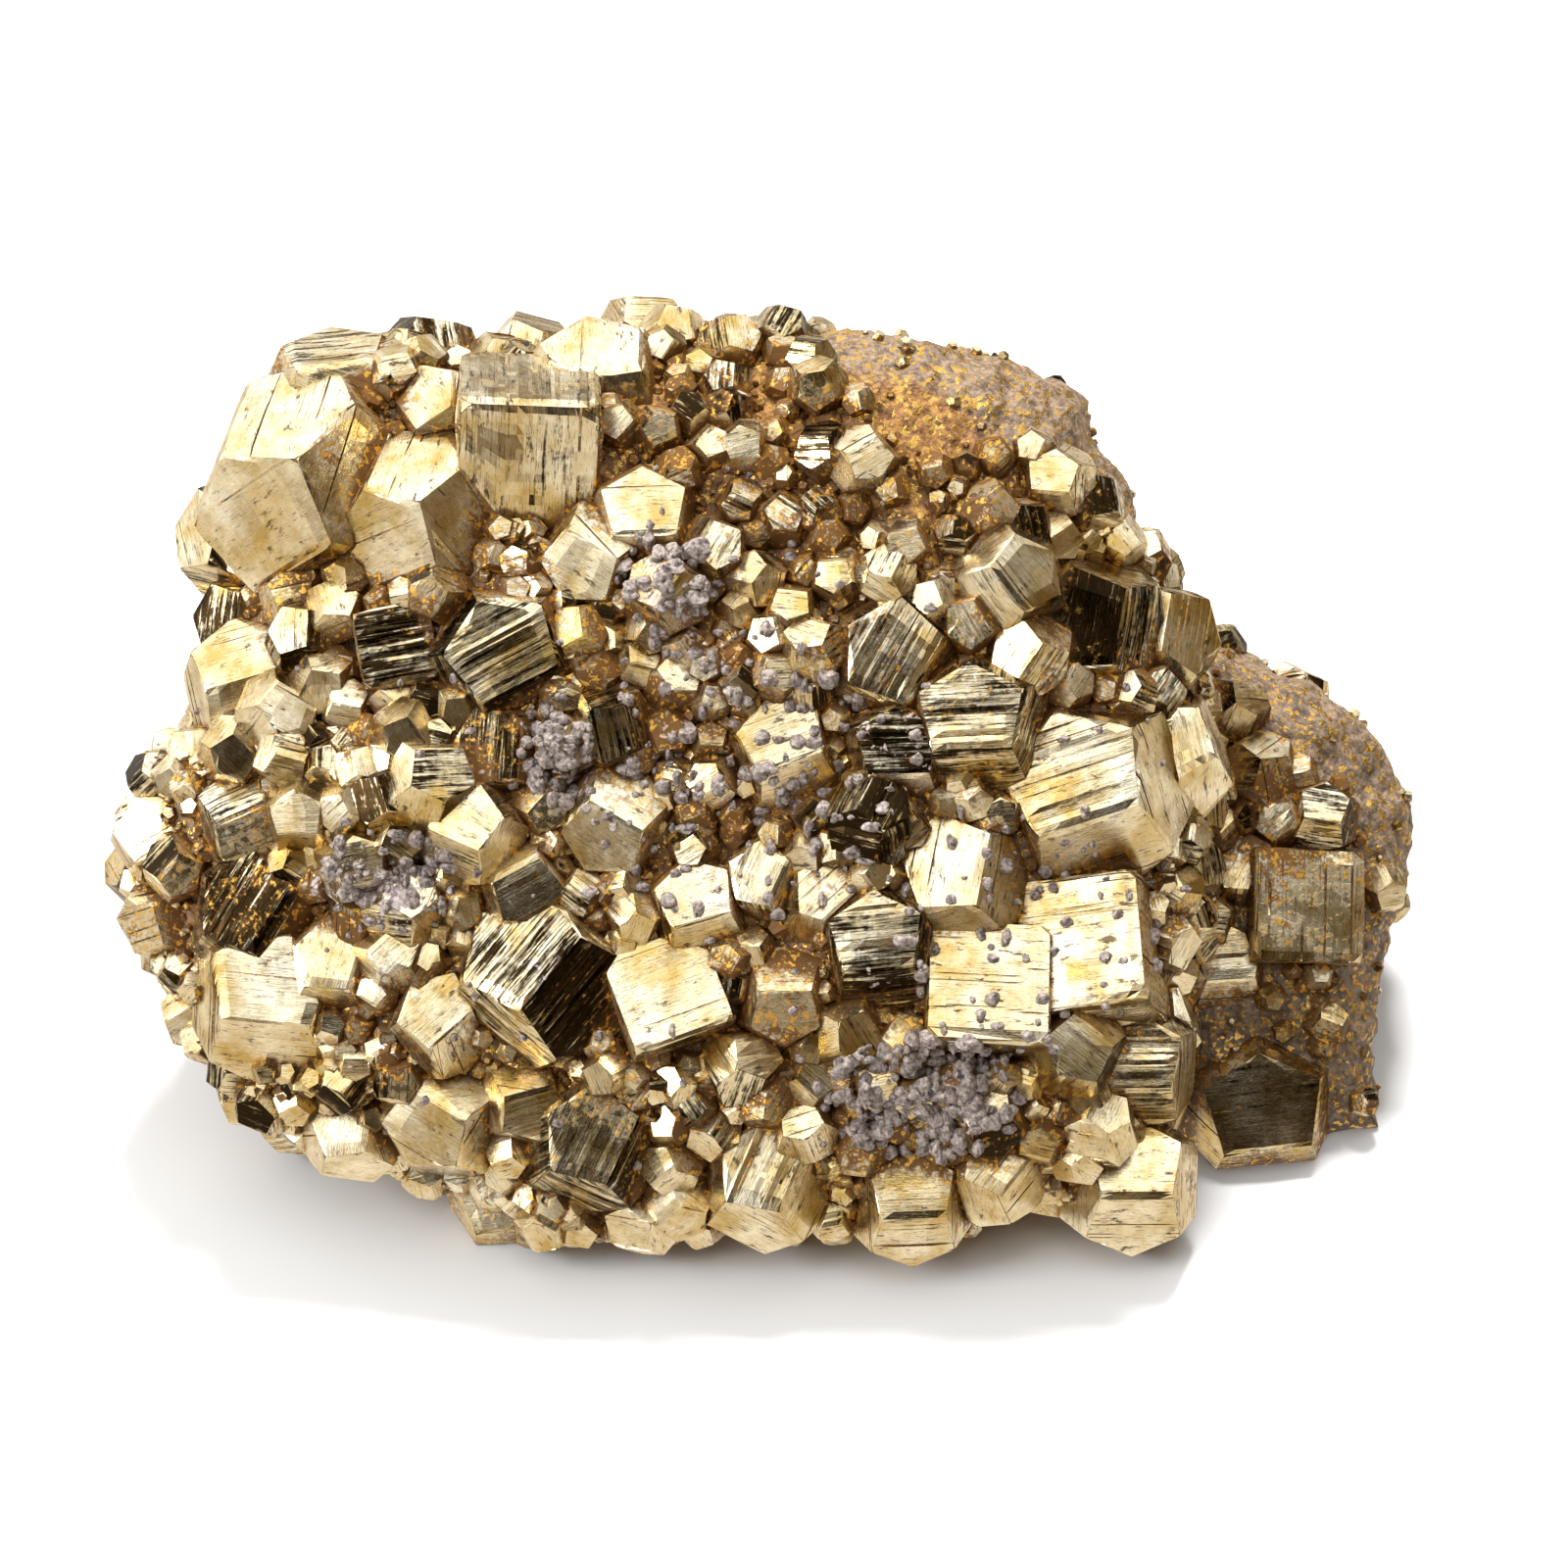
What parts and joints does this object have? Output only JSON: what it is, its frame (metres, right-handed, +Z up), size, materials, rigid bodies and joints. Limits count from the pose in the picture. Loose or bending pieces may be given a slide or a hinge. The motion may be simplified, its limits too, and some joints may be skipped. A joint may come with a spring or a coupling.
{
  "type": "pyrite specimen",
  "caption": "Pyrite specimen: intergrown brassy pyritohedral crystals with grey galena crusts on a granular pyrite matrix.",
  "frame": {"origin": "bottom centre of the bounding box, level with the flat broken base", "axes": "+Z up, +X to the right seen from the display side, +Y away from the display side; the crystal face looks towards -Y and leans back"},
  "size_m": [0.1184, 0.0742, 0.0662],
  "materials": {
    "pyrite_bright": "polished",
    "pyrite_dark": "polished",
    "pyrite_stained": "satin",
    "matrix": "matte",
    "galena": "satin"
  },
  "bodies": {
    "root": {"crystal_black_bottom": "pyrite_dark", "crystal_black_upper": "pyrite_dark", "crystal_block_bottom": "pyrite_bright", "crystal_block_low_centre": "pyrite_stained", "crystal_block_lower": "pyrite_bright", "crystal_block_right": "pyrite_bright", "crystal_block_top": "pyrite_bright", "crystal_bright_rear": "pyrite_bright", "crystal_brown_rear": "pyrite_stained", "crystal_bump_top": "pyrite_bright", "crystal_column_centre": "pyrite_dark", "crystal_cream_lower_left": "pyrite_bright", "crystal_cube_black": "pyrite_dark", "crystal_curved_lower": "pyrite_bright", "crystal_diagonal_lower": "pyrite_dark", "crystal_edge_left": "pyrite_dark", "crystal_edge_low_left": "pyrite_stained", "crystal_edge_pale_left": "pyrite_bright", "crystal_giant_left": "pyrite_bright", "crystal_giant_lower_left": "pyrite_bright", "crystal_giant_right": "pyrite_bright", "crystal_gold_lower_left": "pyrite_bright", "crystal_gold_rear": "pyrite_bright", "crystal_gold_upper": "pyrite_bright", "crystal_green_left": "pyrite_dark", "crystal_hatched_lower": "pyrite_dark", "crystal_lilac_top": "pyrite_bright", "crystal_low_centre": "pyrite_bright", "crystal_pentagon_black": "pyrite_dark", "crystal_pentagon_bottom": "pyrite_bright", "crystal_pentagon_lower": "pyrite_dark", "crystal_pentagon_top": "pyrite_bright", "crystal_plate_bottom": "pyrite_stained", "crystal_plate_left": "pyrite_bright", "crystal_plate_top_left": "pyrite_stained", "crystal_polygon_centre": "pyrite_bright", "crystal_roof_centre": "pyrite_dark", "crystal_shoulder_left": "pyrite_bright", "crystal_shoulder_right": "pyrite_bright", "crystal_silver_bottom": "pyrite_bright", "crystal_slanted_upper": "pyrite_dark", "crystal_slope_centre": "pyrite_bright", "crystal_spark_left": "pyrite_bright", "crystal_spotted_left": "pyrite_bright", "crystal_spotted_right": "pyrite_bright", "crystal_square_centre": "pyrite_bright", "crystal_stained_rear": "pyrite_stained", "crystal_star_centre": "pyrite_bright", "crystal_step_left": "pyrite_dark", "crystal_striated_left": "pyrite_bright", "crystal_striated_low": "pyrite_bright", "crystal_striated_top": "pyrite_bright", "crystal_tall_centre": "pyrite_dark", "crystal_wedge_left": "pyrite_bright", "crystal_white_bottom": "pyrite_bright", "crystal_white_centre": "pyrite_bright", "galena_centre": "galena", "galena_left": "galena", "galena_lower": "galena", "matrix_rock": "matrix"}
  },
  "joints": []
}
